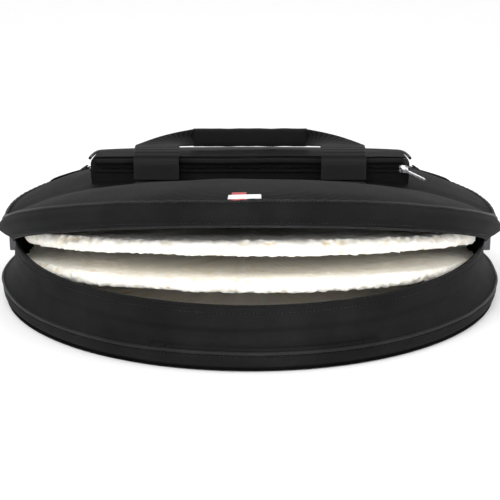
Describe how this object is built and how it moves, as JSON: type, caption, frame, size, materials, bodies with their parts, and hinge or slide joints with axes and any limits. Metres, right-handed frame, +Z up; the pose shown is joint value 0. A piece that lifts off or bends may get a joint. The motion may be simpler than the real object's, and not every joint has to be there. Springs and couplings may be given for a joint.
{
  "type": "padded instrument bag",
  "caption": "Round flat padded bag for a handpan or cymbals, with a zipped front mouth, fleece dividers, an accessory pocket and a webbing handle.",
  "frame": {"origin": "middle of the underside, on the surface it lies on", "axes": "+Z up, the zip mouth faces -Y, +X to the right when facing the mouth"},
  "size_m": [0.5621, 0.5638, 0.171],
  "materials": {
    "nylon": "woven black nylon",
    "webbing": "ribbed black webbing",
    "zip_metal": "polished nickel",
    "zip_coil": "glossy black coil",
    "zip_tape": "fine black tape",
    "fleece": "curly cream fleece",
    "padding": "grey foam",
    "lining": "smooth black lining",
    "piping": "satin black piping",
    "label": "red and white woven label"
  },
  "bodies": {
    "bag_base": {"base_gusset": "nylon", "base_gusset_foam": "padding", "base_gusset_lining": "lining", "bottom_board": "padding", "bottom_panel": "nylon", "bottom_piping": "piping", "divider_lower_rear_core": "padding", "divider_lower_rear_fleece": "fleece", "divider_seams": "lining", "divider_upper_rear_core": "padding", "divider_upper_rear_fleece": "fleece", "floor_fleece": "fleece", "handle_anchors": "webbing", "lid_rear_foam": "padding", "lid_rear_lining": "lining", "lid_rear_panel": "nylon", "lid_rear_piping": "piping", "pocket_front_band": "nylon", "pocket_front_panel": "nylon", "pocket_gusset": "nylon", "pocket_lip": "piping", "pocket_piping": "piping", "pocket_top_panel": "nylon", "pocket_zip_coil": "zip_coil", "pocket_zip_tapes": "zip_tape", "rear_gusset": "nylon", "rear_gusset_foam": "padding", "rear_gusset_lining": "lining", "ring_loop_left": "webbing", "ring_loop_right": "webbing", "ring_tab_left": "webbing", "ring_tab_right": "webbing", "zip_coil_ends": "zip_coil", "zip_coil_lower": "zip_coil", "zip_tape_ends": "zip_tape", "zip_tape_lower": "zip_tape"},
    "lid_flap": {"lid_front_foam": "padding", "lid_front_gusset": "nylon", "lid_front_gusset_lining": "lining", "lid_front_lining": "lining", "lid_front_panel": "nylon", "lid_front_piping": "piping", "zip_tape_upper": "zip_tape", "zip_coil_upper": "zip_coil", "woven_label": "label"},
    "divider_upper": {"divider_upper_front_fleece": "fleece", "divider_upper_front_core": "padding"},
    "divider_lower": {"divider_lower_front_fleece": "fleece", "divider_lower_front_core": "padding"},
    "main_slider_left": {"main_slider_left": "zip_metal"},
    "main_slider_right": {"main_slider_right": "zip_metal"},
    "main_puller_left": {"main_puller_left": "zip_metal"},
    "main_puller_right": {"main_puller_right": "zip_metal"},
    "pocket_slider": {"pocket_slider": "zip_metal"},
    "pocket_puller": {"pocket_puller": "zip_metal"},
    "handle": {"handle_strap_left": "webbing", "handle_strap_right": "webbing", "handle_grip": "webbing"},
    "ring_left": {"ring_left": "zip_metal"},
    "ring_right": {"ring_right": "zip_metal"}
  },
  "joints": [
    {"name": "lid_flap_hinge", "type": "hinge", "parent": "bag_base", "child": "lid_flap", "pos_m": [0, -0.05, 0.124], "axis": [-1, 0, 0], "range_deg": [-19.1, 25]},
    {"name": "divider_upper_hinge", "type": "hinge", "parent": "bag_base", "child": "divider_upper", "pos_m": [0, 0, 0.066], "axis": [-1, 0, 0], "range_deg": [-9.6, 12.6]},
    {"name": "divider_lower_hinge", "type": "hinge", "parent": "bag_base", "child": "divider_lower", "pos_m": [0, 0, 0.038], "axis": [-1, 0, 0], "range_deg": [-8.1, 10.6]},
    {"name": "main_slider_left_run", "type": "hinge", "parent": "bag_base", "child": "main_slider_left", "pos_m": [0, -0.013, 0.0626], "axis": [0, 0, 1], "range_deg": [0, 85]},
    {"name": "main_puller_left_swing", "type": "hinge", "parent": "main_slider_left", "child": "main_puller_left", "pos_m": [-0.271, 0, 0.0626], "axis": [1, 0, 0], "range_deg": [-70, 70]},
    {"name": "main_slider_right_run", "type": "hinge", "parent": "bag_base", "child": "main_slider_right", "pos_m": [0, -0.013, 0.0626], "axis": [0, 0, -1], "range_deg": [0, 85]},
    {"name": "main_puller_right_swing", "type": "hinge", "parent": "main_slider_right", "child": "main_puller_right", "pos_m": [0.271, 0, 0.0626], "axis": [1, 0, 0], "range_deg": [-70, 70]},
    {"name": "pocket_slider_run", "type": "slide", "parent": "bag_base", "child": "pocket_slider", "axis": [-1, 0, 0], "range_m": [0, 0.335]},
    {"name": "pocket_puller_swing", "type": "hinge", "parent": "pocket_slider", "child": "pocket_puller", "pos_m": [0.171, -0.0219, 0.136], "axis": [0, -1, 0], "range_deg": [0, 30]},
    {"name": "handle_hinge", "type": "hinge", "parent": "bag_base", "child": "handle", "pos_m": [0, -0.031, 0.1266], "axis": [1, 0, 0], "range_deg": [0, 75]},
    {"name": "ring_left_swing", "type": "hinge", "parent": "bag_base", "child": "ring_left", "pos_m": [-0.20894, 0.16442, 0.09544], "axis": [0.6771, -0.5328, 0.5075], "range_deg": [0, 110]},
    {"name": "ring_right_swing", "type": "hinge", "parent": "bag_base", "child": "ring_right", "pos_m": [0.20894, 0.16442, 0.09544], "axis": [0.6771, 0.5328, -0.5075], "range_deg": [0, 110]}
  ],
  "couplings": [
    {"joint": "divider_upper_hinge", "follows": "lid_flap_hinge", "ratio": 0.5},
    {"joint": "divider_lower_hinge", "follows": "lid_flap_hinge", "ratio": 0.42}
  ]
}
